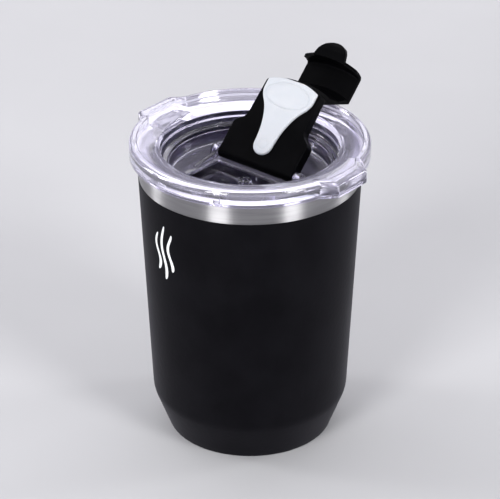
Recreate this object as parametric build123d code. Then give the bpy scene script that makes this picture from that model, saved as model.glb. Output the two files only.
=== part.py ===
from build123d import *
import os
from math import sin, cos, tan, atan2, radians, degrees, sqrt, hypot, pi

# Insulated travel mug. Millimetres, +Z up, origin at the centre of the base on the
# mug's axis. -Y is the drinking side, the cap's hinge runs along X, and the whole
# object is symmetric about x = 0 apart from a small key on the flange's edge.

# ---------------------------------------------------------------- driving sizes
# outside of the mug
BASE_R = 31.85          # where the foot's taper would meet the floor
KINK_R, KINK_Z = 38.10, 16.30   # where the foot's taper meets the long wall
KINK_FILLET = 12.4
BASE_FILLET = 1.4
BAND_Z = 107.6          # upper edge of the black coating
BAND_R = 42.72          # outside radius there
COAT_T = 0.20
SHELL_T = 0.70
LIP_Z = 116.6           # top of the steel lip
# inner liner
LINER_T = 0.70
LINER_R_TOP = 39.55     # inside radius, straight part that the seal ring works in
LINER_STRAIGHT_Z = 104.0
LINER_R_LOW, LINER_LOW_Z = 34.3, 17.5
LINER_FLOOR_Z = 7.0
LINER_CORNER = 10.0
# lid
FLANGE_R = 46.0
FLANGE_Z0, FLANGE_Z1 = 116.7, 122.8
EDGE_IN_R, EDGE_Z = 43.75, 115.9    # the flange's outer edge hangs a little over the steel lip
MOUTH_R, MOUTH_Z = 34.8, 120.4
WELL_R_MID, WELL_Z_MID = 33.3, 114.0
LEDGE_R, LEDGE_Z = 31.2, 113.4
DECK_R, DECK_Z = 30.6, 107.2
DECK_T = 1.8
SUMP_Z, SUMP_FLOOR_T = 102.5, 1.5
SUMP_R = 31.6           # the sump's wall on the drinking side runs straight up to the ledge
PLUG_Z = 101.0          # lowest face of the lid
RING_Z0, RING_Z1 = 112.0, 115.0
RING_GROOVE_R = 35.2
RING_LIP_R = 39.40
TAB_X, TAB_Y0, TAB_Y1 = 49.6, -8.4, 8.7
KEY_AZ = -65.5          # degrees, a small moulded key on the flange's edge
# hinge
HINGE_Y, HINGE_Z = 4.5, 109.8
PIN_R = 1.25
PIN_CLEAR = 0.06
EAR_X0, EAR_X1 = 18.8, 21.8
OPEN_DEG = 135.0        # the cap stands this far open in the stored pose
# cap, in its own closed coordinates: u from the heel towards the drinking side,
# v across, w up.  y = CAP_Y0 - u, x = v, z = CAP_Z0 + w
CAP_Y0, CAP_Z0 = 5.5, 107.5
PLATE_T = 4.6
PLATE_HALF = 18.3
PLATE_END_R = 31.2
RIM_FILLET = 0.5
HOOD_HALF = 12.8
SKIRT_R = 46.6
PAD_END_R = 30.8       # end arc of the silicone seal, about the mug's axis
SEAL_PROUD = 1.0
BULGE_PROUD = 1.6
SEAL_SUNK = 0.8
VENT_Y = -3.0
DRINK_Y = -24.3

os.makedirs("parts", exist_ok=True)


def save(shape, name):
    shape.label = name
    export_step(shape, "parts/%s.step" % name)


def poly_face(points):
    """Face in the local XY plane from a closed list of points."""
    return make_face(Polyline(*points, close=True))


def lathe(face_rz):
    """Turn a face drawn as (radius, height) about the mug's axis."""
    return revolve(Plane.XZ * face_rz, Axis.Z, 360)


def unit(a, b):
    d = hypot(b[0] - a[0], b[1] - a[1])
    return ((b[0] - a[0]) / d, (b[1] - a[1]) / d)


def shift_line(a, b, t):
    """Line a-b moved by t to its left."""
    ux, uy = unit(a, b)
    return (a[0] - uy * t, a[1] + ux * t), (b[0] - uy * t, b[1] + ux * t)


def cross_pt(p, q, r, s):
    x1, y1, x2, y2, x3, y3, x4, y4 = *p, *q, *r, *s
    d = (x1 - x2) * (y3 - y4) - (y1 - y2) * (x3 - x4)
    a, b = x1 * y2 - y1 * x2, x3 * y4 - y3 * x4
    return ((a * (x3 - x4) - (x1 - x2) * b) / d, (a * (y3 - y4) - (y1 - y2) * b) / d)


def at_z(p, q, z):
    return p[0] + (q[0] - p[0]) * (z - p[1]) / (q[1] - p[1])


# ---------------------------------------------------------------- cup profile
# The outside runs: floor, foot taper, long wall.  Offsets go towards the axis.
WALL_SLOPE = (BAND_R - KINK_R) / (BAND_Z - KINK_Z)
FOOT_A, FOOT_B = (BASE_R, 0.0), (KINK_R, KINK_Z)
WALL_A, WALL_B = (KINK_R, KINK_Z), (KINK_R + WALL_SLOPE * 100.3, KINK_Z + 100.3)


def outside_face(t, z_floor, z_top, base_fillet):
    """Everything inside the outer surface moved in by t, between two heights."""
    fa, fb = shift_line(FOOT_A, FOOT_B, t)
    wa, wb = shift_line(WALL_A, WALL_B, t)
    kink = cross_pt(fa, fb, wa, wb)
    low = (at_z(fa, fb, z_floor), z_floor)
    top = (at_z(wa, wb, z_top), z_top)
    face = poly_face([(0, z_floor), low, kink, top, (0, z_top)])
    verts = face.vertices()
    kv = min(verts, key=lambda v: (v.X - kink[0]) ** 2 + (v.Y - kink[1]) ** 2)
    face = fillet(kv, KINK_FILLET - t)
    if base_fillet > 0:
        lv = min(face.vertices(), key=lambda v: (v.X - low[0]) ** 2 + (v.Y - low[1]) ** 2)
        face = fillet(lv, base_fillet)
    return face


full = outside_face(0.0, 0.0, BAND_Z, BASE_FILLET)
steel_out = outside_face(COAT_T, 0.0, LIP_Z, 1.2)
steel_in = outside_face(COAT_T + SHELL_T, SHELL_T, LIP_Z + 1, 0.6)
strip = Pos(25, (0.35 + BAND_Z) / 2) * Rectangle(50, BAND_Z - 0.35)

# black powder coat: a skin on the shell from just above the floor to the bare band
coat_face = (full - steel_out) & strip
black_coat = lathe(coat_face)

# outer shell: drawn tube, turned in under the foot as a rim to stand on
RIM_IN_R = 27.0
shell_face = steel_out - steel_in
shell_face = shell_face - Pos(RIM_IN_R / 2 - 1, 1) * Rectangle(RIM_IN_R + 2, 6)
outer_shell = lathe(shell_face)
SHELL_TOP_IN_R = at_z(*shift_line(WALL_A, WALL_B, COAT_T + SHELL_T), LIP_Z)
SHELL_TOP_OUT_R = at_z(*shift_line(WALL_A, WALL_B, COAT_T), LIP_Z)

# inner liner: open cup with a rolled lip that meets the shell at the top
lip_in = at_z(*shift_line(WALL_A, WALL_B, COAT_T + SHELL_T), LIP_Z - LINER_T)
LO = LINER_R_TOP + LINER_T
liner_pts = [
    (0, LINER_FLOOR_Z), (LINER_R_LOW - 0.35, LINER_FLOOR_Z), (LINER_R_LOW, LINER_LOW_Z),
    (LINER_R_TOP, LINER_STRAIGHT_Z), (LINER_R_TOP, LIP_Z - 1.1), (LINER_R_TOP + 1.1, LIP_Z),
    (SHELL_TOP_IN_R, LIP_Z), (lip_in, LIP_Z - LINER_T), (LO + 0.9, LIP_Z - LINER_T),
    (LO, LIP_Z - LINER_T - 0.9), (LO, LINER_STRAIGHT_Z), (LINER_R_LOW + LINER_T, LINER_LOW_Z),
    (LINER_R_LOW + LINER_T - 0.35, LINER_FLOOR_Z - LINER_T), (0, LINER_FLOOR_Z - LINER_T)]
liner_face = poly_face(liner_pts)


def vert_near(face, x, y):
    return min(face.vertices(), key=lambda v: (v.X - x) ** 2 + (v.Y - y) ** 2)


liner_face = fillet(vert_near(liner_face, LINER_R_LOW - 0.35, LINER_FLOOR_Z), LINER_CORNER)
liner_face = fillet(vert_near(liner_face, LINER_R_LOW + LINER_T - 0.35, LINER_FLOOR_Z - LINER_T),
                    LINER_CORNER + LINER_T)
liner_face = fillet(vert_near(liner_face, LINER_R_TOP, LINER_STRAIGHT_Z), 30)
liner_face = fillet(vert_near(liner_face, LO, LINER_STRAIGHT_Z), 30)
inner_liner = lathe(liner_face)

# base plate: pressed disc welded on the rim's upper face, with a domed centre
PLATE_R = 29.6
bp = poly_face([(0.8, 2.8), (5.0, 2.8), (6.6, 1.5), (PLATE_R, 1.5), (PLATE_R, SHELL_T),
                (6.2, SHELL_T), (4.6, 2.0), (0.8, 2.0)])
vacuum_base_plate = lathe(bp)
# solder bead that closes the evacuation hole in the dome
bead = poly_face([(0, 1.25), (2.2, 1.35), (2.9, 1.7), (3.0, 2.0), (0.8, 2.0), (0.8, 2.8), (0, 2.8)])
vacuum_seal_bead = lathe(bead)
# getter pill inside the vacuum space, on the base plate
getter = Pos(15.0, 6.0, 1.5 + 1.2) * Cylinder(4.0, 2.4)
getter = chamfer(getter.edges().group_by(Axis.Z)[-1], 0.3)
# cover disc that hides the bead, bonded to the plate inside the rim
cover = poly_face([(0, 0.12), (26.5, 0.12), (26.8, 0.32), (26.8, SHELL_T), (0, SHELL_T)])
base_cover = lathe(cover)

# ---------------------------------------------------------------- lid
sec_pts = [
    (37.3, FLANGE_Z0), (EDGE_IN_R, FLANGE_Z0), (EDGE_IN_R, EDGE_Z), (FLANGE_R, EDGE_Z), (FLANGE_R, FLANGE_Z1), (43.3, FLANGE_Z1),
    (42.9, FLANGE_Z1 - 0.35), (40.2, FLANGE_Z1 - 0.75), (37.4, MOUTH_Z + 0.95),
    (MOUTH_R, MOUTH_Z), (WELL_R_MID, WELL_Z_MID), (LEDGE_R, LEDGE_Z), (DECK_R, DECK_Z),
    (0, DECK_Z), (0, DECK_Z - DECK_T), (32.8, DECK_Z - DECK_T), (32.9, 111.2), (34.7, 111.2),
    (34.4, PLUG_Z), (36.2, PLUG_Z), (36.9, RING_Z0), (RING_GROOVE_R, RING_Z0),
    (RING_GROOVE_R, RING_Z1), (37.1, RING_Z1)]
sec = poly_face(sec_pts)
for x, y, r in [(FLANGE_R, EDGE_Z, 0.85), (EDGE_IN_R, EDGE_Z, 0.3), (FLANGE_R, FLANGE_Z1, 1.9), (40.2, FLANGE_Z1 - 0.75, 8.0),
                (37.4, MOUTH_Z + 0.95, 4.0), (MOUTH_R, MOUTH_Z, 1.2),
                (WELL_R_MID, WELL_Z_MID, 0.5), (LEDGE_R, LEDGE_Z, 0.7), (DECK_R, DECK_Z, 1.0),
                (34.4, PLUG_Z, 0.5), (36.2, PLUG_Z, 0.7)]:
    sec = fillet(vert_near(sec, x, y), r)
lid_turned = lathe(sec)


def box_prism(pts_xy, z0, z1):
    """Upright prism on a plan outline."""
    return Pos(0, 0, z0) * extrude(poly_face(pts_xy), z1 - z0)


# sump: a sunk tray in the deck, from behind the vent to the drinking side
def sump_plan(grow):
    g = grow
    f = poly_face([(-17.4 - g, 1.6 + g), (17.4 + g, 1.6 + g), (18.3 + g, -9.0),
                   (18.5 + g, -34), (-18.5 - g, -34), (-18.3 - g, -9.0)])
    f = f & Circle(min(SUMP_R + g, 32.6))
    return f


def fillet_plan(face, rad, ymax):
    vs = [v for v in face.vertices() if v.Y > ymax]
    return fillet(vs, rad)


tub_out = fillet_plan(sump_plan(1.4), 2.0, 0)
tub_in = fillet_plan(sump_plan(0.0), 0.9, 0)
tub = extrude(Pos(0, 0, PLUG_Z) * tub_out, DECK_Z - DECK_T / 2 - PLUG_Z)
tray = extrude(Pos(0, 0, SUMP_Z) * tub_in, DECK_Z + 0.5 - SUMP_Z)
recess = extrude(Pos(0, 0, DECK_Z - 0.5) * (tub_in - Circle(28.0)), LEDGE_Z + 0.5 - DECK_Z + 0.5)
lid = lid_turned + tub - tray - recess

# drinking spout collar and vent collar, standing in the sump
spout_len, spout_r = 4.0, 2.9
VENT_TOP = CAP_Z0 - SEAL_PROUD - 0.10
DRINK_TOP = CAP_Z0 - BULGE_PROUD - 0.10
spout_out = extrude(Pos(0, DRINK_Y, SUMP_Z - 0.3) * SlotCenterToCenter(2 * spout_len, 2 * (spout_r + 1.4)), DRINK_TOP - SUMP_Z + 0.3)
spout_in = extrude(Pos(0, DRINK_Y, PLUG_Z - 1) * SlotCenterToCenter(2 * spout_len, 2 * spout_r), 12)
vent_out = Pos(0, VENT_Y, 0) * lathe(poly_face([(0, SUMP_Z - 0.3), (3.1, SUMP_Z - 0.3), (2.9, SUMP_Z + 1), (2.5, VENT_TOP - 0.5), (2.1, VENT_TOP), (0, VENT_TOP)]))
vent_in = Pos(0, VENT_Y, 104) * Cylinder(0.9, 10)
lid = lid + spout_out + vent_out - spout_in - vent_in

# cheeks beside the cap's wide part, with the hinge ears at their back ends
for s in (-1, 1):
    prof = poly_face([(HINGE_Y + 1.2, DECK_Z - 0.3), (HINGE_Y + 1.2, 110.2), (-8.4, 108.2), (-9.0, 107.8), (-9.0, DECK_Z - 0.3)])
    cheek = extrude(Plane.YZ * prof, 1.9)
    cheek = Pos(EAR_X0 if s > 0 else -EAR_X0 - 1.9, 0, 0) * cheek
    ear_prof = (Pos(HINGE_Y, HINGE_Z) * Circle(2.45)) + poly_face(
        [(HINGE_Y - 2.45, HINGE_Z), (HINGE_Y - 3.2, DECK_Z - 0.3), (HINGE_Y + 3.6, DECK_Z - 0.3), (HINGE_Y + 2.45, HINGE_Z)])
    ear = extrude(Plane.YZ * ear_prof, EAR_X1 - EAR_X0)
    ear = Pos(EAR_X0 if s > 0 else -EAR_X1, 0, 0) * ear
    lid = lid + cheek + ear
pin_hole = Pos(0, HINGE_Y, HINGE_Z) * Rot(0, 90, 0) * Cylinder(PIN_R, 2 * EAR_X1 + 2)
lid = lid - (pin_hole & (Pos(0, 0, HINGE_Z) * Box(2 * EAR_X1 - 1.0, 40, 10)))

# two pull tabs on the flange
for s in (-1, 1):
    plan = poly_face([(s * 40, -12.6), (s * 44.2, -12.6), (s * TAB_X, TAB_Y0), (s * TAB_X, TAB_Y1), (s * 44.2, 13.0), (s * 40, 13.0)])
    vs = [v for v in plan.vertices() if abs(v.X) > 49]
    plan = fillet(vs, 1.6)
    t = Pos(0, 0, FLANGE_Z0 + 0.15) * extrude(plan, FLANGE_Z1 - FLANGE_Z0 - 0.6)
    outer_edges = [e for e in t.edges() if abs(e.center().X) > 46 and (abs(e.center().Z - FLANGE_Z0 - 0.15) < 0.05 or abs(e.center().Z - FLANGE_Z1 + 0.45) < 0.05)]
    t = fillet(outer_edges, 1.2)
    lid = lid + t

# moulded key on the flange's edge
key = Pos(0, 0, (FLANGE_Z0 + FLANGE_Z1) / 2) * Rot(0, 0, KEY_AZ) * Pos(FLANGE_R - 0.1, 0, 0) * Box(1.3, 2.6, FLANGE_Z1 - FLANGE_Z0 - 1.6)
key = fillet(key.edges().filter_by(Axis.Z), 0.25)
lid = lid + key
lid_body = lid

# seal ring: twin-lipped silicone ring in the plug's groove
ring = poly_face([(RING_GROOVE_R, RING_Z0 + 0.1), (37.6, RING_Z0 + 0.1), (RING_LIP_R, RING_Z0 + 0.55), (RING_LIP_R, RING_Z0 + 0.85),
                  (37.9, RING_Z0 + 1.15), (37.9, RING_Z1 - 1.15), (RING_LIP_R, RING_Z1 - 0.85), (RING_LIP_R, RING_Z1 - 0.55),
                  (37.6, RING_Z1 - 0.1), (RING_GROOVE_R, RING_Z1 - 0.1)])
lid_seal_ring = lathe(ring)

# hinge pin, pressed in the ears
hinge_pin = Pos(0, HINGE_Y, HINGE_Z) * Rot(0, 90, 0) * Cylinder(PIN_R, 2 * EAR_X1 - 1.2)
hinge_pin = chamfer(hinge_pin.edges().filter_by(GeomType.CIRCLE), 0.2)

# ---------------------------------------------------------------- cap
def P(u, v, w=0.0):
    return (v, CAP_Y0 - u, CAP_Z0 + w)


def side_face(points_uw):
    """Face in the YZ plane from cap side-view points (u, w)."""
    return Plane.YZ * poly_face([(CAP_Y0 - u, CAP_Z0 + w) for u, w in points_uw])


def turned_uw(points_rz):
    """Solid turned about the mug's axis, heights in cap w."""
    return lathe(poly_face([(r, CAP_Z0 + w) for r, w in points_rz]))


# plate outline: wide at the hinge, S-shaped shoulders, slightly tapering tongue
def plan_pt(u, v):
    return (v, CAP_Y0 - u)


plan = poly_face([plan_pt(1.0, PLATE_HALF), plan_pt(14.0, PLATE_HALF), plan_pt(17.0, 13.95), plan_pt(42.0, 12.9),
                  plan_pt(42.0, -12.9), plan_pt(17.0, -13.95), plan_pt(14.0, -PLATE_HALF), plan_pt(1.0, -PLATE_HALF)])
for s in (-1, 1):
    plan = fillet(vert_near(plan, *plan_pt(14.0, s * PLATE_HALF)), 2.6)
    plan = fillet(vert_near(plan, *plan_pt(17.0, s * 13.95)), 4.0)
plan = plan & Circle(PLATE_END_R)
plate = Pos(0, 0, CAP_Z0) * extrude(plan, PLATE_T)
plate = fillet([e for e in plate.edges().filter_by(Axis.Z) if e.center().Y < -20], 1.2)
# soften the rim of the plate all the way round, apart from the heel
rim = [e for e in plate.edges() if (abs(e.center().Z - CAP_Z0) < 0.02 or abs(e.center().Z - CAP_Z0 - PLATE_T) < 0.02) and e.center().Y < 4.0]
plate = fillet(rim, RIM_FILLET)
heel = Pos(0, HINGE_Y, HINGE_Z) * Rot(0, 90, 0) * Cylinder(PLATE_T / 2, 2 * PLATE_HALF)
heel = fillet(heel.edges().filter_by(GeomType.CIRCLE), RIM_FILLET)
plate = plate + heel

# riser: follows the well's wall in front, flat behind, and leans out over the lip
riser_side = side_face([(31.4, 3.6), (31.9, 4.6), (39.4, 20.0), (60, 20.0), (60, 3.6)])
riser = extrude(riser_side, HOOD_HALF, both=True)
riser_env = turned_uw([(0, 3.0), (31.0, 3.0), (31.2, 6.1), (32.8, 7.2), (33.9, 11.6), (34.0, 13.0), (36.6, 17.0), (36.6, 21), (0, 21)])
riser = riser & riser_env

# hood: a flat roof over the flange, and a skirt outside the flange
hood_side = side_face([(38.62, 18.4), (39.4, 20.0), (60, 20.0), (60, 10), (38.62, 10)])
hood_block = extrude(hood_side, HOOD_HALF, both=True)
outer_env = turned_uw([(0, 10), (48.1, 10), (48.1, 14.0), (47.9, 16.8), (47.5, 18.8), (47.1, 19.5), (46.4, 20.0), (0, 20.0)])
hood_block = hood_block & outer_env
inner_cut = turned_uw([(0, 9), (SKIRT_R, 9), (SKIRT_R, 15.4), (46.3, 17.9), (45.8, 18.4), (0, 18.4)])
hood = hood_block - inner_cut
# skirt's lower edge: deepest in the middle
skirt_trim = extrude(Plane.XZ * make_face([Line((-20, CAP_Z0 + 5), (20, CAP_Z0 + 5)), Line((20, CAP_Z0 + 5), (20, CAP_Z0 + 15.0)),
                     Spline((20, CAP_Z0 + 15.0), (13, CAP_Z0 + 14.5), (7.5, CAP_Z0 + 12.6), (0, CAP_Z0 + 12.0), (-7.5, CAP_Z0 + 12.6), (-13, CAP_Z0 + 14.5), (-20, CAP_Z0 + 15.0)),
                     Line((-20, CAP_Z0 + 15.0), (-20, CAP_Z0 + 5))]), 80)
hood = hood - skirt_trim

# thumb tab: half-round tongue from the skirt's lower edge, curled up at its tip
tab_side = side_face([(50, 11.5), (55.4, 11.5), (57.6, 11.9), (59.4, 12.9), (59.6, 15.0), (58.2, 15.2), (56.8, 14.1), (55.0, 13.4), (50, 13.3)])
tab = extrude(tab_side, 9, both=True)
tab_plan = extrude(Pos(0, CAP_Y0 - 52.0, CAP_Z0 + 8) * Circle(7.3), 10)
tab = (tab & tab_plan) - Pos(0, 0, CAP_Z0 + 5) * extrude(Circle(SKIRT_R), 12)

cap = plate + riser + hood + tab
# bore for the pin, and the pocket for the silicone seal
cap = cap - Pos(0, HINGE_Y, HINGE_Z) * Rot(0, 90, 0) * Cylinder(PIN_R + PIN_CLEAR, 60)


# seal outline: round vent end, waist, and the wide pad over the spout
def seal_plan(shrink):
    k = shrink
    side = [(8.4, 4.25 - k), (12.0, 4.5 - k), (15.5, 5.1 - k), (19.0, 6.15 - k), (22.0, 7.45 - k), (24.6, 9.15 - k), (26.4, 10.6 - k), (28.4, 11.65 - k), (31.0, 12.0 - k)]
    rs = [(v, CAP_Y0 - u) for u, v in side]
    ls = [(-v, CAP_Y0 - u) for u, v in side]
    f = make_face([Spline(*rs, tangents=[(0, -1), (0, -1)]), Line(rs[-1], (rs[-1][0], CAP_Y0 - 36)), Line((rs[-1][0], CAP_Y0 - 36), (-rs[-1][0], CAP_Y0 - 36)),
                   Line((-rs[-1][0], CAP_Y0 - 36), ls[-1]), Spline(*ls, tangents=[(0, -1), (0, -1)]),
                   ThreePointArc(ls[0], (0, rs[0][1] + 4.25 - k), rs[0])])
    return f & Circle(PAD_END_R - k)


sp = seal_plan(0.0)



def round_corners(solid, rad):
    """Round the two upright corners at the pad's free end."""
    es = [e for e in solid.edges().filter_by(Axis.Z) if e.center().Y < -20]
    return fillet(es, rad)


pocket = round_corners(extrude(Pos(0, 0, CAP_Z0 - 1) * sp, 1 + SEAL_SUNK), 0.9)
cap = cap - pocket
seal = round_corners(extrude(Pos(0, 0, CAP_Z0 - SEAL_PROUD) * sp, SEAL_PROUD + SEAL_SUNK), 0.9)
low_edges = [e for e in seal.edges() if abs(e.center().Z - (CAP_Z0 - SEAL_PROUD)) < 0.02]
try:
    seal = fillet(low_edges, 0.6)
except Exception as err:
    print("seal fillet left out:", err)
bulge = extrude(Pos(0, CAP_Y0 - 29.4, CAP_Z0 - BULGE_PROUD) * Ellipse(9.7, 5.0), 1.2)
low_b = [e for e in bulge.edges() if abs(e.center().Z - (CAP_Z0 - BULGE_PROUD)) < 0.02]
bulge = fillet(low_b, 0.5)
seal = seal + (bulge & (Pos(0, 0, CAP_Z0 - 3) * extrude(Circle(PAD_END_R - 0.5), 4)))

# stand the cap open
hinge_axis = Axis((0, HINGE_Y, HINGE_Z), (1, 0, 0))
flap_shell = cap.rotate(hinge_axis, -OPEN_DEG)
flap_seal = seal.rotate(hinge_axis, -OPEN_DEG)

nodes = dict(outer_shell=outer_shell, black_coat=black_coat, inner_liner=inner_liner,
             vacuum_base_plate=vacuum_base_plate, vacuum_seal_bead=vacuum_seal_bead, getter=getter,
             base_cover=base_cover, lid_body=lid_body, lid_seal_ring=lid_seal_ring,
             hinge_pin=hinge_pin, flap_shell=flap_shell, flap_seal=flap_seal)
for name, shape in nodes.items():
    n = len(shape.solids())
    if n > 1:
        print(name, "has", n, "solids", [round(s.volume, 2) for s in shape.solids()])
    save(shape, name)
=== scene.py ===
import bpy, bmesh, math
import numpy as np
from mathutils import Vector, Matrix, noise
from math import sin, cos, pi, radians, hypot, atan2, sqrt, exp


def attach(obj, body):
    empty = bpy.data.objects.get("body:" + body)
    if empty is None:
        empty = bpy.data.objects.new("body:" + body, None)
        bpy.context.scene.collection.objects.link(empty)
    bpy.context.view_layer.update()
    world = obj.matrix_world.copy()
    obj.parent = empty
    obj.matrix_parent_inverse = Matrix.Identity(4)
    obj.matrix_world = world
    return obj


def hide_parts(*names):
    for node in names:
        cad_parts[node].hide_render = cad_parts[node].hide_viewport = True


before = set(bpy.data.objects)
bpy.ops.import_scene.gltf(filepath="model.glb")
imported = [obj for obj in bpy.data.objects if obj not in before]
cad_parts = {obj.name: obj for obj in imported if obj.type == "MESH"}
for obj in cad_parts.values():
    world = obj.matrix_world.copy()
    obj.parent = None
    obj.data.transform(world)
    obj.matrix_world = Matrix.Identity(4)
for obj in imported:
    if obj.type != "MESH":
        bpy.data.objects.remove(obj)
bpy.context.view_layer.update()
scene = bpy.context.scene
MM = 0.001

# ------------------------------------------------------------------ camera
AIM_Z, DIST, AZ, EL = 0.0746, 1.100, radians(40.0), radians(28.2)
back = Vector((sin(AZ) * cos(EL), -cos(AZ) * cos(EL), sin(EL)))
cam_data = bpy.data.cameras.new("cam")
cam = bpy.data.objects.new("cam", cam_data)
scene.collection.objects.link(cam)
cam.location = Vector((0, 0, AIM_Z)) + back * DIST
cam.rotation_euler = back.to_track_quat("Z", "Y").to_euler()
cam_data.sensor_width = 36.0
cam_data.lens = 36.0 * 2842.0 / 500.0
cam_data.clip_start, cam_data.clip_end = 0.01, 50
scene.camera = cam


# ------------------------------------------------------------------ mesh helpers
def new_obj(name, verts, faces, scale=MM):
    me = bpy.data.meshes.new(name)
    me.from_pydata([tuple(c * scale for c in v) for v in verts], [], faces)
    me.validate()
    ob = bpy.data.objects.new(name, me)
    scene.collection.objects.link(ob)
    return ob


def smooth(ob, deg=30):
    me = ob.data
    me.polygons.foreach_set("use_smooth", [True] * len(me.polygons))
    me.set_sharp_from_angle(angle=radians(deg))
    me.update()


def fix_normals(ob):
    bm = bmesh.new(); bm.from_mesh(ob.data)
    bmesh.ops.recalc_face_normals(bm, faces=bm.faces)
    bm.to_mesh(ob.data); bm.free()


def apply_mods(ob):
    dg = bpy.context.evaluated_depsgraph_get()
    me = bpy.data.meshes.new_from_object(ob.evaluated_get(dg), depsgraph=dg)
    old = ob.data
    ob.modifiers.clear()
    ob.data = me
    bpy.data.meshes.remove(old)


def boolean(ob, other, op):
    m = ob.modifiers.new("b", "BOOLEAN")
    m.operation, m.object, m.solver = op, other, "MANIFOLD"
    bpy.context.view_layer.update()
    apply_mods(ob)
    bpy.data.objects.remove(other)


def rounded(points, radii, n=8, closed=True):
    """Polyline through points with each corner replaced by an arc; radii has one value per point."""
    out, N = [], len(points)
    for i, (p, r) in enumerate(zip(points, radii)):
        if r <= 0 or (not closed and i in (0, N - 1)):
            out.append(tuple(p)); continue
        A, B, C = (np.array(points[(i - 1) % N], float), np.array(p, float), np.array(points[(i + 1) % N], float))
        u, v = (A - B) / np.linalg.norm(A - B), (C - B) / np.linalg.norm(C - B)
        ang = math.acos(float(np.clip(u @ v, -1, 1)))
        if abs(pi - ang) < 1e-3:
            out.append(tuple(p)); continue
        d = r / math.tan(ang / 2)
        P, Q = B + u * d, B + v * d
        bis = (u + v) / np.linalg.norm(u + v)
        O = B + bis * r / sin(ang / 2)
        a0, a1 = atan2(*(P - O)[::-1]), atan2(*(Q - O)[::-1])
        da = (a1 - a0 + pi) % (2 * pi) - pi
        k = max(2, int(n * abs(da) / (pi / 2)) + 1)
        out += [tuple(O + r * np.array([cos(a0 + da * j / k), sin(a0 + da * j / k)])) for j in range(k + 1)]
    return out


def densify(pts, step, closed=True):
    out, N = [], len(pts)
    for i in range(N if closed else N - 1):
        a, b = np.array(pts[i], float), np.array(pts[(i + 1) % N], float)
        k = max(1, int(math.ceil(np.linalg.norm(b - a) / step)))
        out += [tuple(a + (b - a) * j / k) for j in range(k)]
    if not closed:
        out.append(tuple(pts[-1]))
    return out


def lathe(name, prof, thetas=None, shift=None, cap_first=False, cap_last=False, centre=(0, 0)):
    """Turn a profile of (r, z) about Z. A closed profile gives a ring; cap_first and cap_last close an open one flat."""
    thetas = thetas if thetas is not None else [2 * pi * i / 256 for i in range(256)]
    n, m = len(thetas), len(prof)
    verts, faces = [], []
    for t in thetas:
        for r, z in prof:
            rr, zz = shift(t, r, z) if shift else (r, z)
            verts.append((centre[0] + rr * cos(t), centre[1] + rr * sin(t), zz))
    ring = not (cap_first or cap_last)
    for i in range(n):
        j = (i + 1) % n
        for k in range(m if ring else m - 1):
            l = (k + 1) % m
            faces.append((i * m + k, j * m + k, j * m + l, i * m + l))
    if cap_first:
        faces.append([i * m for i in range(n)])
    if cap_last:
        faces.append([i * m + m - 1 for i in range(n)][::-1])
    ob = new_obj(name, verts, faces)
    fix_normals(ob)
    return ob


def stack(name, outline, layers, gain=None):
    """Closed solid from a plan outline offset outwards by d at each height z: layers = [(d, z), ...]."""
    P = np.array(outline, float)
    area = 0.5 * np.sum(P[:, 0] * np.roll(P[:, 1], -1) - np.roll(P[:, 0], -1) * P[:, 1])
    T = np.roll(P, -1, 0) - np.roll(P, 1, 0)
    T /= np.linalg.norm(T, axis=1)[:, None] + 1e-12
    Nn = np.stack([T[:, 1], -T[:, 0]], 1) * (1 if area > 0 else -1)
    verts, faces, n = [], [], len(P)
    G = np.ones(len(P)) if gain is None else np.array([gain(*p) for p in P])
    for d, z in layers:
        Q = P + Nn * (d * (G if d > 0 else 1.0) if np.ndim(G) == 0 else d * (G[:, None] if d > 0 else 1.0))
        verts += [(q[0], q[1], z) for q in Q]
    for k in range(len(layers) - 1):
        for i in range(n):
            j = (i + 1) % n
            faces.append((k * n + i, k * n + j, (k + 1) * n + j, (k + 1) * n + i))
    faces.append(list(range(n))[::-1])
    faces.append([(len(layers) - 1) * n + i for i in range(n)])
    ob = new_obj(name, verts, faces)
    fix_normals(ob)
    return ob


def quarter(d0, z0, d1, z1, bulge_out, n=5):
    """Quarter-round layers from (d0, z0) to (d1, z1)."""
    res = []
    for k in range(n + 1):
        t = k / n * pi / 2
        if bulge_out:
            res.append((d0 + (d1 - d0) * sin(t), z0 + (z1 - z0) * (1 - cos(t))))
        else:
            res.append((d0 + (d1 - d0) * (1 - cos(t)), z0 + (z1 - z0) * sin(t)))
    return res


def prism_x(name, side_yz, x0, x1, bevel=0.0, seg=3):
    """Side outline in (y, z), extruded along X, with bevelled edges."""
    n = len(side_yz)
    verts = [(x0, y, z) for y, z in side_yz] + [(x1, y, z) for y, z in side_yz]
    faces = [list(range(n))[::-1], list(range(n, 2 * n))] + [(i, (i + 1) % n, n + (i + 1) % n, n + i) for i in range(n)]
    ob = new_obj(name, verts, faces)
    fix_normals(ob)
    if bevel:
        m = ob.modifiers.new("bev", "BEVEL"); m.width = bevel * MM; m.segments = seg; m.limit_method = "ANGLE"; m.angle_limit = radians(35)
        bpy.context.view_layer.update(); apply_mods(ob)
    return ob


# ------------------------------------------------------------------ materials
def mat(name):
    m = bpy.data.materials.new(name); m.use_nodes = True
    nt = m.node_tree; nt.nodes.clear()
    out = nt.nodes.new("ShaderNodeOutputMaterial")
    return m, nt, out


def node(nt, kind, **kw):
    n = nt.nodes.new("ShaderNode" + kind)
    for k, v in kw.items():
        if k in n.inputs.keys():
            n.inputs[k].default_value = v
        else:
            setattr(n, k, v)
    return n


def link(nt, a, b):
    nt.links.new(a, b)


def principled(nt, out, **kw):
    p = nt.nodes.new("ShaderNodeBsdfPrincipled")
    for k, v in kw.items():
        p.inputs[k.replace("_", " ")].default_value = v
    nt.links.new(p.outputs[0], out.inputs[0])
    return p


def mapped(nt, scale=(1, 1, 1)):
    tc = nt.nodes.new("ShaderNodeTexCoord")
    mp = nt.nodes.new("ShaderNodeMapping")
    mp.inputs["Scale"].default_value = scale
    nt.links.new(tc.outputs["Object"], mp.inputs[0])
    return mp.outputs[0]


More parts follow.
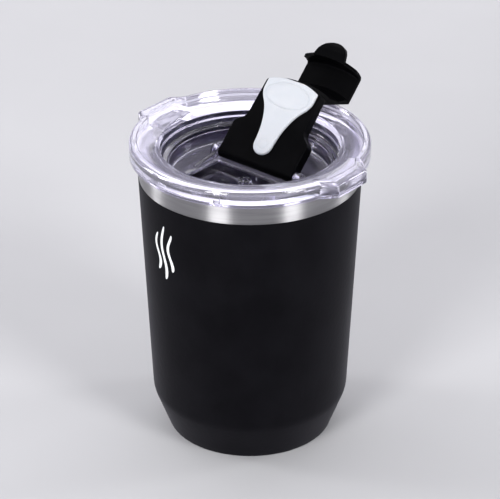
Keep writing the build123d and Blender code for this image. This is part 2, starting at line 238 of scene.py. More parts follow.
def noise_tex(nt, vec, scale, detail=2.0, rough=0.5):
    n = nt.nodes.new("ShaderNodeTexNoise")
    n.inputs["Scale"].default_value = scale; n.inputs["Detail"].default_value = detail; n.inputs["Roughness"].default_value = rough
    nt.links.new(vec, n.inputs["Vector"])
    return n


def remap(nt, sock, lo, hi, from_lo=0.25, from_hi=0.75):
    r = nt.nodes.new("ShaderNodeMapRange")
    r.inputs["From Min"].default_value, r.inputs["From Max"].default_value = from_lo, from_hi
    r.inputs["To Min"].default_value, r.inputs["To Max"].default_value = lo, hi
    nt.links.new(sock, r.inputs[0])
    return r.outputs[0]


def bump(nt, height, strength, dist, p, prev=None):
    b = nt.nodes.new("ShaderNodeBump")
    b.inputs["Strength"].default_value = strength; b.inputs["Distance"].default_value = dist
    nt.links.new(height, b.inputs["Height"])
    if prev:
        nt.links.new(prev, b.inputs["Normal"])
    nt.links.new(b.outputs[0], p.inputs["Normal"])
    return b.outputs[0]


def ramp_color(nt, sock, c0, c1, p0=0.35, p1=0.65):
    r = nt.nodes.new("ShaderNodeValToRGB")
    r.color_ramp.elements[0].position, r.color_ramp.elements[1].position = p0, p1
    r.color_ramp.elements[0].color, r.color_ramp.elements[1].color = (*c0, 1), (*c1, 1)
    nt.links.new(sock, r.inputs[0])
    return r.outputs[0]


def powder_coat():
    m, nt, out = mat("black_powder_coat")
    p = principled(nt, out, Base_Color=(0.0035, 0.0034, 0.0042, 1), Roughness=0.42, IOR=1.45)
    v = mapped(nt)
    big = noise_tex(nt, v, 55, 3)
    link(nt, ramp_color(nt, big.outputs[0], (0.0022, 0.0021, 0.0029), (0.0034, 0.0033, 0.0044)), p.inputs["Base Color"])
    fine = noise_tex(nt, v, 1500, 2)
    link(nt, remap(nt, big.outputs[0], 0.36, 0.44), p.inputs["Roughness"])
    peel = noise_tex(nt, v, 620, 1)
    b1 = bump(nt, peel.outputs[0], 0.18, 0.0002, p)
    bump(nt, fine.outputs[0], 0.10, 0.0001, p, b1)
    p.inputs["Specular IOR Level"].default_value = 0.032
    p.inputs["Sheen Weight"].default_value = 0.07
    p.inputs["Sheen Roughness"].default_value = 0.42
    p.inputs["Sheen Tint"].default_value = (0.86, 0.83, 1.0, 1)
    return m


def brushed(name, base=(0.34, 0.335, 0.345), lo=0.29, hi=0.38, aniso=1.0, streak=0.35):
    m, nt, out = mat(name)
    p = principled(nt, out, Metallic=1.0, Roughness=0.3)
    tc = nt.nodes.new("ShaderNodeTexCoord")
    sep = nt.nodes.new("ShaderNodeSeparateXYZ"); link(nt, tc.outputs["Object"], sep.inputs[0])
    at = node(nt, "Math", operation="ARCTAN2"); link(nt, sep.outputs["Y"], at.inputs[0]); link(nt, sep.outputs["X"], at.inputs[1])
    # scratches run round the body: long in angle, very fine in height
    sc = node(nt, "Math", operation="MULTIPLY"); link(nt, at.outputs[0], sc.inputs[0]); sc.inputs[1].default_value = 1.3
    zz = node(nt, "Math", operation="MULTIPLY"); link(nt, sep.outputs["Z"], zz.inputs[0]); zz.inputs[1].default_value = 2600
    zc = node(nt, "Math", operation="MULTIPLY"); link(nt, sep.outputs["Z"], zc.inputs[0]); zc.inputs[1].default_value = 700
    co = nt.nodes.new("ShaderNodeCombineXYZ"); link(nt, sc.outputs[0], co.inputs[0]); link(nt, zz.outputs[0], co.inputs[2])
    co2 = nt.nodes.new("ShaderNodeCombineXYZ"); link(nt, sc.outputs[0], co2.inputs[0]); link(nt, zc.outputs[0], co2.inputs[2])
    f = noise_tex(nt, co.outputs[0], 1.0, 3, 0.6)
    g = noise_tex(nt, co2.outputs[0], 1.0, 4, 0.6)
    link(nt, remap(nt, f.outputs[0], lo, hi), p.inputs["Roughness"])
    k = streak * 0.30
    link(nt, ramp_color(nt, g.outputs[0], tuple(c * (1 - k) for c in base), tuple(min(1, c * (1 + k)) for c in base)), p.inputs["Base Color"])
    b1 = bump(nt, f.outputs[0], 0.12, 0.00005, p)
    bump(nt, g.outputs[0], 0.10, 0.00008, p, b1)
    p.inputs["Anisotropic"].default_value = aniso
    p.inputs["Anisotropic Rotation"].default_value = 0.25
    t = nt.nodes.new("ShaderNodeTangent"); t.direction_type = "RADIAL"; t.axis = "Z"
    link(nt, t.outputs[0], p.inputs["Tangent"])
    return m


def clear_plastic():
    m, nt, out = mat("clear_plastic")
    p = nt.nodes.new("ShaderNodeBsdfPrincipled")
    p.inputs["Base Color"].default_value = (0.87, 0.845, 1.0, 1)
    p.inputs["IOR"].default_value = 1.58
    p.inputs["Transmission Weight"].default_value = 0.955
    v = mapped(nt)
    sc = noise_tex(nt, v, 240, 3, 0.6)
    link(nt, remap(nt, sc.outputs[0], 0.035, 0.065), p.inputs["Roughness"])
    # the thick flange is a little milky, the deck has a fine grain on top, the rest is clear
    tc = nt.nodes.new("ShaderNodeTexCoord"); sep = nt.nodes.new("ShaderNodeSeparateXYZ"); link(nt, tc.outputs["Object"], sep.inputs[0])
    milky = remap(nt, sep.outputs["Z"], 1.0, 0.84, 0.1185, 0.1215)
    lo, hi = remap(nt, sep.outputs["Z"], 0.0, 1.0, 0.1066, 0.1070), remap(nt, sep.outputs["Z"], 1.0, 0.0, 0.1075, 0.1085)
    deck = node(nt, "Math", operation="MULTIPLY"); link(nt, lo, deck.inputs[0]); link(nt, hi, deck.inputs[1])
    part = node(nt, "Math", operation="MULTIPLY"); link(nt, deck.outputs[0], part.inputs[0]); part.inputs[1].default_value = 0.12
    both = node(nt, "Math", operation="SUBTRACT"); link(nt, milky, both.inputs[0]); link(nt, part.outputs[0], both.inputs[1])
    link(nt, both.outputs[0], p.inputs["Transmission Weight"])
    flow = noise_tex(nt, v, 85, 2, 0.5)
    bump(nt, flow.outputs[0], 0.06, 0.0006, p)
    tr = nt.nodes.new("ShaderNodeBsdfTransparent"); tr.inputs[0].default_value = (0.20, 0.19, 0.24, 1)
    lp = nt.nodes.new("ShaderNodeLightPath")
    mx = nt.nodes.new("ShaderNodeMixShader")
    link(nt, lp.outputs["Is Shadow Ray"], mx.inputs[0]); link(nt, p.outputs[0], mx.inputs[1]); link(nt, tr.outputs[0], mx.inputs[2])
    link(nt, mx.outputs[0], out.inputs[0])
    return m


def silicone_white():
    m, nt, out = mat("white_silicone")
    p = principled(nt, out, Base_Color=(0.84, 0.86, 0.89, 1), Roughness=0.48, IOR=1.41)
    p.inputs["Subsurface Weight"].default_value = 0.35
    p.inputs["Subsurface Radius"].default_value = (0.0022, 0.0019, 0.0017)
    p.inputs["Subsurface Scale"].default_value = 0.6
    v = mapped(nt)
    a = noise_tex(nt, v, 130, 3)
    link(nt, ramp_color(nt, a.outputs[0], (0.46, 0.48, 0.515), (0.49, 0.505, 0.535)), p.inputs["Base Color"])
    link(nt, remap(nt, a.outputs[0], 0.42, 0.56), p.inputs["Roughness"])
    f = noise_tex(nt, v, 2200, 1)
    bump(nt, f.outputs[0], 0.06, 0.00006, p)
    return m


def black_plastic():
    m, nt, out = mat("black_plastic")
    p = principled(nt, out, Base_Color=(0.0018, 0.0018, 0.0022, 1), Roughness=0.34, IOR=1.5)
    p.inputs["Specular IOR Level"].default_value = 0.024
    v = mapped(nt)
    a = noise_tex(nt, v, 90, 3)
    link(nt, remap(nt, a.outputs[0], 0.30, 0.42), p.inputs["Roughness"])
    link(nt, ramp_color(nt, a.outputs[0], (0.0008, 0.0008, 0.0011), (0.0015, 0.0015, 0.0019)), p.inputs["Base Color"])
    f = noise_tex(nt, v, 1700, 2)
    bump(nt, f.outputs[0], 0.10, 0.00008, p)
    return m


def plain(name, c0, c1, rlo, rhi, metallic=0.0, scale=300, bs=0.1, bd=0.0001, ior=1.45):
    m, nt, out = mat(name)
    p = principled(nt, out, Metallic=metallic, IOR=ior)
    v = mapped(nt)
    a = noise_tex(nt, v, scale, 3)
    link(nt, ramp_color(nt, a.outputs[0], c0, c1), p.inputs["Base Color"])
    link(nt, remap(nt, a.outputs[0], rlo, rhi), p.inputs["Roughness"])
    f = noise_tex(nt, v, scale * 5, 2)
    bump(nt, f.outputs[0], bs, bd, p)
    return m


M_COAT = powder_coat()
M_STEEL = brushed("shell_steel")
M_LINER = brushed("liner_steel", base=(0.36, 0.355, 0.38), lo=0.26, hi=0.40, aniso=0.5, streak=0.25)
M_CLEAR = clear_plastic()
M_WHITE = silicone_white()
M_BLACK = black_plastic()
M_RING = plain("ring_silicone", (0.055, 0.055, 0.075), (0.085, 0.085, 0.11), 0.42, 0.55, scale=260)
M_PIN = plain("pin_steel", (0.62, 0.62, 0.63), (0.70, 0.70, 0.71), 0.16, 0.26, metallic=1.0, scale=900)
M_RUBBER = plain("cover_rubber", (0.015, 0.015, 0.016), (0.024, 0.024, 0.026), 0.62, 0.78, scale=420, bs=0.2)
M_SOLDER = plain("solder", (0.42, 0.42, 0.43), (0.58, 0.58, 0.58), 0.30, 0.5, metallic=1.0, scale=1400, bs=0.3)
M_GETTER = plain("getter_grey", (0.20, 0.20, 0.21), (0.33, 0.33, 0.34), 0.7, 0.9, scale=2500, bs=0.4)
M_INK = plain("print_ink", (0.74, 0.76, 0.79), (0.82, 0.83, 0.85), 0.5, 0.62, scale=1500, bs=0.15, bd=0.00005)
M_WELD = brushed("base_steel", base=(0.52, 0.52, 0.53), lo=0.3, hi=0.45, aniso=0.3)


def dress(ob, m):
    ob.data.materials.clear(); ob.data.materials.append(m)


def cad_material(name, m):
    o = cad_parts[name]
    if not o.material_slots:
        o.data.materials.append(m)
    for s in o.material_slots:
        s.material = m


# ------------------------------------------------------------------ cup: the same profile as the solids
BASE_R, KINK_R, KINK_Z, KINK_F, BASE_F = 31.85, 38.10, 16.30, 12.4, 1.4
BAND_Z, BAND_R, COAT_T, SHELL_T, LIP_Z = 107.6, 42.72, 0.20, 0.70, 116.6
SLOPE = (BAND_R - KINK_R) / (BAND_Z - KINK_Z)


def off(a, b, t):
    d = hypot(b[0] - a[0], b[1] - a[1]); ux, uy = (b[0] - a[0]) / d, (b[1] - a[1]) / d
    return (a[0] - uy * t, a[1] + ux * t), (b[0] - uy * t, b[1] + ux * t)


def meet(p, q, r, s):
    x1, y1, x2, y2, x3, y3, x4, y4 = *p, *q, *r, *s
    d = (x1 - x2) * (y3 - y4) - (y1 - y2) * (x3 - x4)
    a, b = x1 * y2 - y1 * x2, x3 * y4 - y3 * x4
    return ((a * (x3 - x4) - (x1 - x2) * b) / d, (a * (y3 - y4) - (y1 - y2) * b) / d)


def line_r(p, q, z):
    return p[0] + (q[0] - p[0]) * (z - p[1]) / (q[1] - p[1])


WB = (KINK_R + SLOPE * 100.3, KINK_Z + 100.3)


def outside(t, z0, z1, base_f, n=10):
    fa, fb = off((BASE_R, 0), (KINK_R, KINK_Z), t)
    wa, wb = off((KINK_R, KINK_Z), WB, t)
    k = meet(fa, fb, wa, wb)
    pts = [(line_r(fa, fb, z0) - 4, z0), (line_r(fa, fb, z0), z0), k, (line_r(wa, wb, z1), z1)]
    return rounded(pts, [0, base_f, KINK_F - t, 0], n=n, closed=False), (wa, wb)


full, _ = outside(0.0, 0.0, BAND_Z, BASE_F, 14)
inner, (iwa, iwb) = outside(COAT_T, 0.0, BAND_Z, 1.2, 14)
steel_prof, _ = outside(COAT_T, 0.0, LIP_Z, 1.2, 14)


def cut_above(prof, z):
    """The part of an outer profile above height z, starting exactly on it."""
    res = []
    for a, b in zip(prof[:-1], prof[1:]):
        if a[1] < z <= b[1] and a[0] > 20:
            res.append((a[0] + (b[0] - a[0]) * (z - a[1]) / (b[1] - a[1]), z))
        if b[1] > z:
            res.append(b)
    return res


co, ci = cut_above(full, 0.35), cut_above(inner, 0.35)
# the coat's upper edge is a soft film edge, not a knife edge
co = densify(co[:-1], 4.0, closed=False) + [(co[-1][0] - 0.004, BAND_Z - 0.12), (co[-1][0] - 0.03, BAND_Z - 0.03), (co[-1][0] - 0.09, BAND_Z)]
coat = lathe("coat_skin", co + ci[::-1])
smooth(coat, 40); dress(coat, M_COAT)
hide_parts("black_coat"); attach(coat, "cup")

inside, (jwa, jwb) = outside(COAT_T + SHELL_T, SHELL_T, LIP_Z, 0.6, 14)
rim_r = 27.0
sp = [(rim_r, 0.12), (rim_r + 0.12, 0.0)] + [p for p in steel_prof[1:]]
sp = sp[:-1] + densify([sp[-2], sp[-1]], 3.0, closed=False)[1:]
top_out = sp[-1]
sp = sp[:-1] + rounded([sp[-2], top_out, (line_r(jwa, jwb, LIP_Z), LIP_Z)], [0, 0.35, 0], closed=False)[1:]
sp += [p for p in inside[::-1][1:-1]] + [(rim_r, SHELL_T)]
shell = lathe("steel_shell", sp)
smooth(shell, 35); dress(shell, M_STEEL)
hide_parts("outer_shell"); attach(shell, "cup")

LR, LZ0, RL, ZL, ZF, LT = 39.55, 104.0, 34.3, 17.5, 7.0, 0.7
lo_r = LR + LT
lin = rounded(
    [(RL - 0.35, ZF), (RL, ZL), (LR, LZ0), (LR, LIP_Z - 1.1), (LR + 1.1, LIP_Z), (line_r(jwa, jwb, LIP_Z), LIP_Z),
     (line_r(jwa, jwb, LIP_Z - LT), LIP_Z - LT), (lo_r + 0.9, LIP_Z - LT), (lo_r, LIP_Z - LT - 0.9), (lo_r, LZ0), (RL + LT, ZL), (RL + LT - 0.35, ZF - LT)],
    [0.01] + [0, 30, 0.7, 0.7, 0, 0, 0.3, 0.3, 30, 0, 0.01], n=8)
floor_in = rounded([(0.6, ZF), (RL - 0.35, ZF), (RL, ZL), (LR, LZ0)], [0, 10, 0, 0], n=12, closed=False)
floor_out = rounded([(LR, LZ0 + 1), (RL + LT, ZL), (RL + LT - 0.35, ZF - LT), (0.6, ZF - LT)], [0, 0, 10.7, 0], n=12, closed=False)
up_in = rounded([(RL, ZL), (LR, LZ0), (LR, LIP_Z - 1.1), (LR + 1.1, LIP_Z), (line_r(jwa, jwb, LIP_Z), LIP_Z)], [0, 30, 0.6, 0.6, 0], closed=False)
down_out = rounded([(line_r(jwa, jwb, LIP_Z), LIP_Z), (line_r(jwa, jwb, LIP_Z - LT), LIP_Z - LT), (lo_r + 0.9, LIP_Z - LT), (lo_r, LIP_Z - LT - 0.9), (lo_r, LZ0), (RL + LT, ZL)], [0, 0, 0.3, 0.3, 30, 0], closed=False)
prof = floor_in[:-1] + up_in[1:] + down_out[1:] + floor_out[2:]
prof = [p for i, p in enumerate(prof) if i == 0 or hypot(p[0] - prof[i - 1][0], p[1] - prof[i - 1][1]) > 1e-4]
liner = lathe("steel_liner", prof, cap_first=True, cap_last=True)
smooth(liner, 35); dress(liner, M_LINER)
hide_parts("inner_liner"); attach(liner, "cup")

cad_material("vacuum_base_plate", M_WELD)
cad_material("vacuum_seal_bead", M_SOLDER)
cad_material("getter", M_GETTER)
cad_material("base_cover", M_RUBBER)
cad_material("hinge_pin", M_PIN)

# ------------------------------------------------------------------ printed mark: three plain steam waves
def body_r(z):
    return KINK_R + SLOPE * (z - KINK_Z)


def wave(name, az0, z0, z1, w_mm, amp, phase, segs=72):
    verts, faces = [], []
    for i in range(segs + 1):
        t = i / segs
        z = z0 + (z1 - z0) * t
        fade = min(1.0, t * 6, (1 - t) * 6)
        half = 0.5 * w_mm * (0.12 + 0.88 * sqrt(max(0.0, fade * (2 - fade)))) * (1.0 - 0.35 * t)
        ctr = amp * sin(2 * pi * t * 1.05 + phase)
        r0 = body_r(z)
        for dr in (0.015, 0.055):
            for s in (-half, half):
                a = az0 + (ctr + s) / r0
                verts.append(((r0 + dr) * cos(a), (r0 + dr) * sin(a), z))
    for i in range(segs):
        b, c = i * 4, (i + 1) * 4
        faces += [(b + 2, b + 3, c + 3, c + 2), (b, c, c + 1, b + 1), (b, b + 2, c + 2, c), (b + 1, c + 1, c + 3, b + 3)]
    faces += [(0, 1, 3, 2), (segs * 4, segs * 4 + 2, segs * 4 + 3, segs * 4 + 1)]
    return new_obj(name, verts, faces)


waves = [wave("w%d" % i, radians(-101.0) + dx / 41.5, z0, z1, 1.7, 1.15, 0.5 * i)
         for i, (dx, z0, z1) in enumerate([(-3.6, 79.0, 95.0), (0.0, 76.0, 99.0), (3.6, 80.5, 96.5)])]
bm = bmesh.new()
for w in waves:
    bm.from_mesh(w.data)
me = bpy.data.meshes.new("printed_mark"); bmesh.ops.recalc_face_normals(bm, faces=bm.faces); bm.to_mesh(me); bm.free()
for w in waves:
    bpy.data.objects.remove(w)
mark = bpy.data.objects.new("printed_mark", me); scene.collection.objects.link(mark)
smooth(mark, 40); dress(mark, M_INK)
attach(mark, "cup")

# ------------------------------------------------------------------ lid
FR, F0, F1 = 46.0, 116.7, 122.8
LIP = 115.9      # the flange's outer edge hangs a little over the steel lip
TABX, TY0, TY1 = 49.6, -8.4, 8.7
KEY_AZ = radians(-65.5)

# the flange's outline seen from above, as radius against angle
tab_poly = {}
for s in (1, -1):
    raw = [(44.2, -12.6), (TABX, TY0), (TABX, TY1), (44.2, 13.0)]
    tab_poly[s] = rounded(raw, [0, 1.6, 1.6, 0], n=6, closed=False)


def tab_radius(t):
    """Distance from the axis to the tab's outline in direction t, or 0 outside it."""
    best = 0.0
    for s in (1, -1):
        pl = [(s * x, y) for x, y in tab_poly[s]]
        dx, dy = cos(t), sin(t)
        for a, b in zip(pl[:-1], pl[1:]):
            ex, ey = b[0] - a[0], b[1] - a[1]
            den = dx * ey - dy * ex
            if abs(den) < 1e-12:
                continue
            r = (a[0] * ey - a[1] * ex) / den
            u = (a[0] * dy - a[1] * dx) / den
            if r > 0 and -1e-6 <= u <= 1 + 1e-6:
                best = max(best, r)
    return best


thetas = set(round(2 * pi * i / 300, 6) for i in range(300))
for c in (0, pi):
    for k in range(-60, 61):
        thetas.add(round((c + radians(17.5) * k / 60) % (2 * pi), 6))
for d in (-1.9, -1.72, -1.66, -1.60, -1.54, -1.35, -0.7, 0, 0.7, 1.35, 1.54, 1.60, 1.66, 1.72, 1.9):
    thetas.add(round((KEY_AZ + radians(d)) % (2 * pi), 6))
thetas = sorted(thetas)
thetas = [t for i, t in enumerate(thetas) if i == 0 or t - thetas[i - 1] > 2e-4]


def sstep(x, a, b):
    t = min(1.0, max(0.0, (x - a) / (b - a)))
    return t * t * (3 - 2 * t)


def lid_shift(t, r, z):
    if r <= 40.5 or z < LIP - 0.01:
        return r, z
    R = tab_radius(t)
    w = min(1.0, (r - 40.5) / (FR - 40.5))
    ext = max(0.0, R - FR)
    rr = r + ext * w
    # the tabs are a little thinner than the flange
    k = min(1.0, ext / 1.6) * w
    zz = z + k * (0.12 if z < 119 else -0.35 if z > 121 else 0)
    d = abs((t - KEY_AZ + pi) % (2 * pi) - pi)
    if r > 44.5:
        up = 1 - sstep(d, radians(1.56), radians(1.70))
        zk = sstep(z, F0 + 0.35, F0 + 0.9) * (1 - sstep(z, F1 - 0.9, F1 - 0.35))
        rr += 0.62 * up * zk * (1.0 if r > 45.5 else (r - 44.5))
    return rr, zz


sec = rounded(
    [(37.3, F0), (FR, F0), (FR, F1), (43.3, F1), (42.9, F1 - 0.35), (40.2, F1 - 0.75), (37.4, 121.35), (34.8, 120.4), (33.3, 114.0), (31.2, 113.4), (30.6, 107.2)],
    [0, 1.7, 1.9, 0.25, 0.35, 8.0, 4.0, 1.2, 0.5, 0.7, 1.0], n=8, closed=False)
# the last fillet needs the deck beyond it
top = rounded([(37.3, F0), (43.7, F0), (43.9, LIP), (FR, LIP), (FR, F1), (43.3, F1), (42.9, F1 - 0.35), (40.2, F1 - 0.75), (37.4, 121.35), (34.8, 120.4), (33.3, 114.0), (31.2, 113.4), (30.6, 107.2), (26.0, 107.2)],
              [0, 0.25, 0.3, 0.85, 1.9, 0.25, 0.35, 8.0, 4.0, 1.2, 0.5, 0.7, 1.0, 0], n=9, closed=False)
under = rounded([(26.0, 105.4), (32.8, 105.4), (32.9, 111.2), (34.7, 111.2), (34.4, 101.0), (36.2, 101.0), (36.9, 112.0), (35.2, 112.0), (35.2, 115.0), (37.1, 115.0), (37.3, F0)],
                [0, 0.4, 0.6, 0.6, 0.5, 0.7, 0.25, 0.2, 0.2, 0.25, 0], n=6, closed=False)


def upright(prof, zs):
    """Add rows on the flange's upright face so that the key has clean edges."""
    res = []
    for a, b in zip(prof[:-1], prof[1:]):
        res.append(a)
        if abs(a[0] - FR) < 1e-6 and abs(b[0] - FR) < 1e-6:
            res += [(FR, z) for z in zs if a[1] + 0.02 < z < b[1] - 0.02]
    return res + [prof[-1]]


top = upright(top, [118.6, 119.2, 119.8, 120.4])
lid_prof = top[::-1][:-1] + under[::-1]
# order: deck edge -> up the well -> flange -> down to the plug -> underside of the deck
lid = lathe("lid_clear", top[::-1] + under[::-1][1:], thetas=thetas, shift=lid_shift, cap_first=True, cap_last=True)


SUMP_R = 31.6


def sump_outline(n_arc=64, R=SUMP_R):
    pts = [(-17.4, 1.6), (17.4, 1.6), (18.3, -9.0), (18.5, -sqrt(R * R - 18.5 ** 2))]
    a0 = atan2(pts[-1][1], pts[-1][0]); a1 = -pi - a0
    arc = [(R * cos(a0 + (a1 - a0) * k / n_arc), R * sin(a0 + (a1 - a0) * k / n_arc)) for k in range(1, n_arc)]
    left = [(-18.5, -sqrt(R * R - 18.5 ** 2)), (-18.3, -9.0)]
    poly = pts + arc + left
    rad = [0.9, 0.9, 4.0, 1.2] + [0] * len(arc) + [1.2, 4.0]
    return densify(rounded(poly, rad, n=8), 0.7)


out_line = sump_outline()


def near_deck(x, y):
    """1 along the deck's own edge of the sump, 0 where the sump's wall is the well's wall."""
    return 1.0 - sstep(hypot(x, y), 27.6, 29.6)


tub = stack("tub", sump_outline(R=31.2), quarter(0.7, 101.0, 1.4, 101.7, True, 4) + [(1.4, 106.2)])
boolean(lid, tub, "UNION")
tray = stack("tray", out_line, [(-0.8, 102.5)] + quarter(-0.8, 102.5, 0.0, 103.3, True, 5)[1:] + [(0.0, 106.75)] + quarter(0.0, 106.75, 0.45, 107.2, False, 4)[1:] + [(0.45, 108.6)], gain=near_deck)
boolean(lid, tray, "DIFFERENCE")
far = [i for i, q in enumerate(out_line) if hypot(*q) > 29.8 and q[1] < 0]
chain = [out_line[i] for i in range(far[0], far[-1] + 1)]
b0, b1 = atan2(chain[-1][1], chain[-1][0]), atan2(chain[0][1], chain[0][0])
if b0 > 0:
    b0 -= 2 * pi
back_arc = [(28.4 * cos(b0 + (b1 - b0) * k / 60), 28.4 * sin(b0 + (b1 - b0) * k / 60)) for k in range(61)]
recess = stack("recess", chain + back_arc, [(0.0, 106.6), (0.0, 113.9)])
boolean(lid, recess, "DIFFERENCE")


def slot_outline(half_len, r, cy, n=20):
    pts = [(half_len + r * cos(a), cy + r * sin(a)) for a in [-pi / 2 + pi * k / n for k in range(n + 1)]]
    pts += [(-half_len + r * cos(a), cy + r * sin(a)) for a in [pi / 2 + pi * k / n for k in range(n + 1)]]
    return densify(pts, 0.8)


DY, VY = -24.3, -3.0
DT, VT = 107.5 - 1.6 - 0.10, 107.5 - 1.0 - 0.10
spout = stack("spout", slot_outline(4.0, 2.9, DY), [(1.9, 102.2), (1.9, 102.5), (1.55, 103.0), (1.4, 103.6), (1.4, DT - 0.6)] + quarter(1.4, DT - 0.6, 0.8, DT, False, 5)[1:] )
boolean(lid, spout, "UNION")
vent = lathe("vent", rounded([(3.3, 102.2), (3.1, 102.6), (2.6, 103.6), (2.5, VT), (0.6, VT)], [0, 0.2, 1.0, 0.55, 0], closed=False), thetas=[2 * pi * i / 64 for i in range(64)], cap_first=True, cap_last=True, centre=(0, VY))
boolean(lid, vent, "UNION")
hole = stack("hole", slot_outline(4.0, 2.9, DY), [(0.5, 100.0), (0.5, 101.0)] + quarter(0.5, 101.0, 0.0, 101.5, False, 4)[1:] + [(0.0, DT - 0.5)] + quarter(0.0, DT - 0.5, 0.5, DT, False, 4)[1:] + [(0.5, DT + 1)])
boolean(lid, hole, "DIFFERENCE")
vh = lathe("vh", [(0.9, 100.0), (0.9, VT - 0.3), (1.15, VT), (1.15, VT + 1)], thetas=[2 * pi * i / 40 for i in range(40)], cap_first=True, cap_last=True, centre=(0, VY))
boolean(lid, vh, "DIFFERENCE")

HY, HZ, PIN_R = 4.5, 109.8, 1.25
for s in (-1, 1):
    x0, x1 = (18.8, 20.7) if s > 0 else (-20.7, -18.8)
    side = [(HY + 1.2, 106.6), (HY + 1.2, 110.2), (-8.4, 108.2), (-9.0, 107.8), (-9.0, 106.6)]
    cheek = prism_x("cheek", side, x0, x1, 0.35)
    boolean(lid, cheek, "UNION")
    x0, x1 = (18.8, 21.8) if s > 0 else (-21.8, -18.8)
    arc = [(HY + 2.45 * cos(a), HZ + 2.45 * sin(a)) for a in [pi * k / 24 for k in range(25)]]
    side = [(HY + 3.6, 106.6)] + arc + [(HY - 3.2, 106.6)]
    ear = prism_x("ear", side, x0, x1, 0.3)
    boolean(lid, ear, "UNION")
bore = prism_x("bore", [(HY + PIN_R * cos(2 * pi * k / 40), HZ + PIN_R * sin(2 * pi * k / 40)) for k in range(40)], -21.3, 21.3)
boolean(lid, bore, "DIFFERENCE")
smooth(lid, 32); dress(lid, M_CLEAR)
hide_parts("lid_body"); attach(lid, "lid")

ring = lathe("seal_ring", rounded(
    [(35.2, 112.1), (37.6, 112.1), (39.4, 112.55), (39.4, 112.85), (37.9, 113.15), (37.9, 113.85), (39.4, 114.15), (39.4, 114.45), (37.6, 114.9), (35.2, 114.9)],
    [0.15, 0.3, 0.14, 0.14, 0.3, 0.3, 0.14, 0.14, 0.3, 0.15], n=5))
smooth(ring, 40); dress(ring, M_RING)
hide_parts("lid_seal_ring"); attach(ring, "lid")


# ------------------------------------------------------------------ cap: the moulded solids with their edges softened
def swing(ob, deg):
    c = Vector((0, HY * MM, HZ * MM))
    ob.data.transform(Matrix.Translation(c) @ Matrix.Rotation(radians(deg), 4, "X") @ Matrix.Translation(-c))


def dome(ob):
    """The pad's mound falls softly from its middle to its foot, and the vent collar has pressed a ring in the stem."""
    face = 107.5 - 1.0
    for v in ob.data.vertices:
        x, y, z = v.co.x / MM, v.co.y / MM, v.co.z / MM
        if z > face + 0.3:
            continue
        rho = hypot(x / 9.7, (y + 23.9) / 5.0)
        if rho < 1.12:
            h = 0.6 * max(0.0, 1.0 - rho ** 5) * (1.0 - sstep(hypot(x, y), 29.2, 30.1))
            if 0.98 < rho:
                h -= 0.24 * sin(pi * (rho - 0.98) / 0.14)
            v.co.z = (face - h) * MM
        d = hypot(x, y + 3.0)
        if d < 3.2:
            v.co.z += 0.16 * exp(-((d - 2.05) / 0.32) ** 2) * MM


def soften(node_name, name, voxel, rounds, factor=0.5, shape=None):
    """A new piece from a moulded solid: remeshed in its closed pose, edges rounded, put back as it stands."""
    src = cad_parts[node_name]
    me = src.data.copy(); me.name = name
    ob = bpy.data.objects.new(name, me); scene.collection.objects.link(ob)
    bm = bmesh.new(); bm.from_mesh(me); bmesh.ops.remove_doubles(bm, verts=bm.verts, dist=1e-7); bm.to_mesh(me); bm.free()
    swing(ob, 135.0)
    m = ob.modifiers.new("vox", "REMESH"); m.mode = "VOXEL"; m.voxel_size = voxel * MM; m.adaptivity = 0; m.use_smooth_shade = True
    s = ob.modifiers.new("sm", "SMOOTH"); s.factor = factor; s.iterations = rounds
    bpy.context.view_layer.update(); apply_mods(ob)
    if shape:
        shape(ob)
    swing(ob, -135.0)
    ob.data.polygons.foreach_set("use_smooth", [True] * len(ob.data.polygons))
    return ob


flap = soften("flap_shell", "flip_cap", 0.24, 4)
dress(flap, M_BLACK)
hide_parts("flap_shell"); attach(flap, "flap")
seal = soften("flap_seal", "cap_seal", 0.16, 9, shape=dome)
dress(seal, M_WHITE)
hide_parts("flap_seal"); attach(seal, "flap")

# ------------------------------------------------------------------ floor and light
verts = [(-4, -4, 0), (4, -4, 0), (4, 4, 0), (-4, 4, 0)]
floor = new_obj("floor", verts, [(0, 1, 2, 3)], scale=1)
fm, nt, out = mat("floor_paper")
p = principled(nt, out, Base_Color=(0.62, 0.62, 0.64, 1), Roughness=0.85)
v = mapped(nt)
link(nt, ramp_color(nt, noise_tex(nt, v, 6, 3).outputs[0], (0.475, 0.475, 0.49), (0.50, 0.50, 0.515)), p.inputs["Base Color"])
# the sheet is lit evenly to its far edge
sepf = nt.nodes.new("ShaderNodeSeparateXYZ"); link(nt, v, sepf.inputs[0])
flat = nt.nodes.new("ShaderNodeCombineXYZ"); link(nt, sepf.outputs["X"], flat.inputs[0]); link(nt, sepf.outputs["Y"], flat.inputs[1])
ln = node(nt, "VectorMath", operation="LENGTH"); link(nt, flat.outputs[0], ln.inputs[0])
p.inputs["Emission Color"].default_value = (0.97, 0.97, 1.0, 1)
link(nt, remap(nt, ln.outputs["Value"], 0.0, 0.55, 0.9, 3.2), p.inputs["Emission Strength"])
dress(floor, fm)

world = bpy.data.worlds.new("studio"); scene.world = world
world.use_nodes = True
wn = world.node_tree; wn.nodes.clear()
wo = wn.nodes.new("ShaderNodeOutputWorld"); bg = wn.nodes.new("ShaderNodeBackground")
bg2 = wn.nodes.new("ShaderNodeBackground"); wlp = wn.nodes.new("ShaderNodeLightPath"); wmx = wn.nodes.new("ShaderNodeMixShader")
bg.inputs[0].default_value = (0.78, 0.76, 0.88, 1); bg.inputs[1].default_value = 0.20
bg2.inputs[0].default_value = (0.72, 0.72, 0.745, 1); bg2.inputs[1].default_value = 1.0
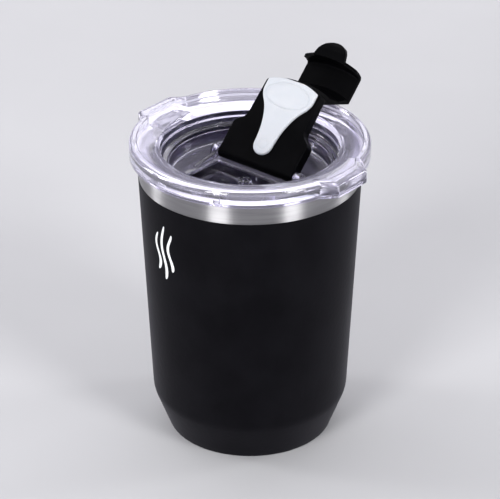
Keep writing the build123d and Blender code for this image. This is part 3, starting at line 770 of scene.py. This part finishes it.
# what is seen through the clear lid is brighter than what lights the room
bg3 = wn.nodes.new("ShaderNodeBackground"); wmt = wn.nodes.new("ShaderNodeMixShader")
bg3.inputs[0].default_value = (0.60, 0.59, 0.68, 1); bg3.inputs[1].default_value = 0.32
wn.links.new(wlp.outputs["Is Transmission Ray"], wmt.inputs[0])
wn.links.new(bg.outputs[0], wmt.inputs[1]); wn.links.new(bg3.outputs[0], wmt.inputs[2])
wn.links.new(wlp.outputs["Is Camera Ray"], wmx.inputs[0])
wn.links.new(wmt.outputs[0], wmx.inputs[1]); wn.links.new(bg2.outputs[0], wmx.inputs[2])
wn.links.new(wmx.outputs[0], wo.inputs[0])

right = Vector((cos(AZ), sin(AZ), 0)); hback = Vector((sin(AZ), -cos(AZ), 0))
MID = Vector((0, 0, 0.09))


def soft_box(name, rel_deg, elev_deg, dist, sx, sy, radiance, col=(1, 1, 1), aim=MID, upright=False):
    """Soft box at an angle to the right of the camera's side, and above the table."""
    a, e = radians(rel_deg), radians(elev_deg)
    h = hback * cos(a) + right * sin(a)
    d = h * cos(e) + Vector((0, 0, sin(e)))
    L = bpy.data.lights.new(name, "AREA"); L.shape = "RECTANGLE"; L.size, L.size_y = sx, sy
    L.energy = radiance * pi * sx * sy; L.color = col
    o = bpy.data.objects.new(name, L); scene.collection.objects.link(o)
    o.location = aim + d * dist
    o.rotation_euler = (h if upright else d).to_track_quat("Z", "Y").to_euler()
    o.visible_camera = False
    return o


soft_box("top_box", 180, 80, 1.35, 1.5, 1.5, 0.95)
soft_box("back_box", 176, 40, 1.6, 2.4, 1.3, 0.95, col=(0.97, 0.96, 1.0))
soft_box("back_low", 178, 28, 1.55, 2.6, 0.36, 1.2, col=(0.96, 0.95, 1.0))
soft_box("left_box", -115, 40, 1.4, 1.1, 1.1, 1.0, col=(0.97, 0.96, 1.0))
soft_box("strip_left", -30.5, 24, 1.95, 0.60, 1.70, 12, upright=True)
soft_box("strip_right", 42, 24, 1.95, 0.54, 1.70, 12, upright=True)
soft_box("rim_left", -104, 16, 1.95, 0.40, 1.1, 12, upright=True)
soft_box("rim_right", 104, 16, 1.95, 0.40, 1.1, 10, upright=True)
try:
    cy = scene.cycles
    cy.max_bounces, cy.transmission_bounces, cy.glossy_bounces, cy.transparent_max_bounces = 18, 16, 8, 16
except AttributeError:
    pass

scene.view_settings.view_transform = "Standard"
scene.view_settings.look = "None"
